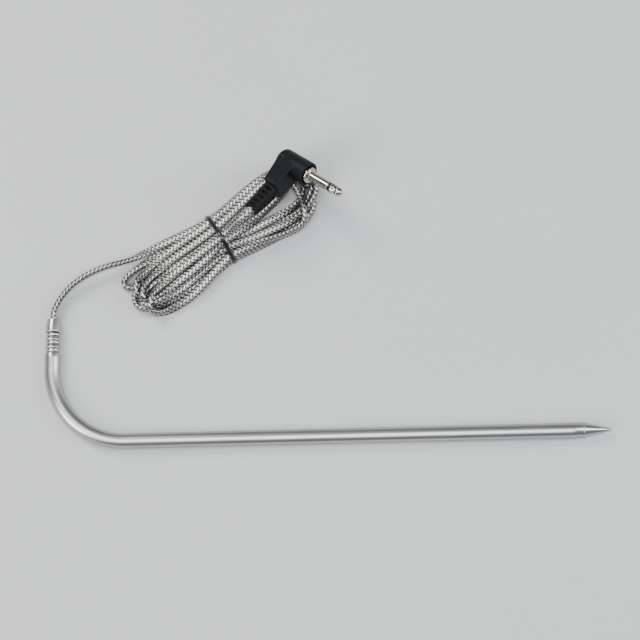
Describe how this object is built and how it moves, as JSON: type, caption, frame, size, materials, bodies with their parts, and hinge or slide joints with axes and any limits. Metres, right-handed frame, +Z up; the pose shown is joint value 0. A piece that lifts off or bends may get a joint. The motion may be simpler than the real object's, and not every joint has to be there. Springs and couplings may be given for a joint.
{
  "type": "meat thermometer probe",
  "caption": "J-bent steel meat probe with a ground point, a crimped cable exit, a braided cable tied in a hank and a right-angle audio-style plug.",
  "frame": {"origin": "on the surface the probe lies on, under the centre of the box round the steel probe alone", "axes": "+X along the straight tube to its point, +Y from the straight tube towards the cable, +Z up from the surface it lies on"},
  "size_m": [0.1515, 0.079, 0.0192],
  "materials": {
    "stainless_steel": "satin drawn stainless tube, fine lengthwise grain",
    "nickel_plate": "bright nickel plating, slightly warm",
    "brass": "plain turned brass",
    "tinned_copper": "tinned copper wire",
    "braided_steel": "fine stainless overbraid with dark gaps between its ribbons",
    "black_tie": "smooth black band with a soft gloss",
    "black_plastic": "matte moulded black plastic with a fine texture",
    "black_ring": "smooth black insulating ring",
    "white_insulation": "off-white glass-fibre insulation",
    "amber_film": "amber polyimide film",
    "grey_cement": "grey heat-conducting cement",
    "bead_glass": "glazed sensing bead"
  },
  "bodies": {
    "root": {"probe_tube": "stainless_steel", "probe_tip": "stainless_steel", "cable_ferrule": "stainless_steel", "thermistor_bead": "bead_glass", "thermistor_lead_a": "tinned_copper", "thermistor_lead_b": "tinned_copper", "bead_potting": "grey_cement", "splice_a": "tinned_copper", "splice_b": "tinned_copper", "splice_sleeve": "amber_film", "core_wire_a": "tinned_copper", "core_wire_b": "tinned_copper", "insulation_a": "white_insulation", "insulation_b": "white_insulation", "braid_collar": "brass", "cord_lead": "braided_steel", "cord_hank": "braided_steel", "cord_tail": "braided_steel", "hank_tie": "black_tie", "plug_housing": "black_plastic", "strain_relief": "black_plastic", "contact_carrier": "black_plastic", "jack_sleeve": "nickel_plate", "jack_tip": "nickel_plate", "tip_insulator": "black_ring", "sleeve_lug": "brass", "tip_lug": "brass", "plug_wire_a": "white_insulation", "plug_wire_b": "white_insulation", "cable_clamp": "brass"}
  },
  "joints": []
}
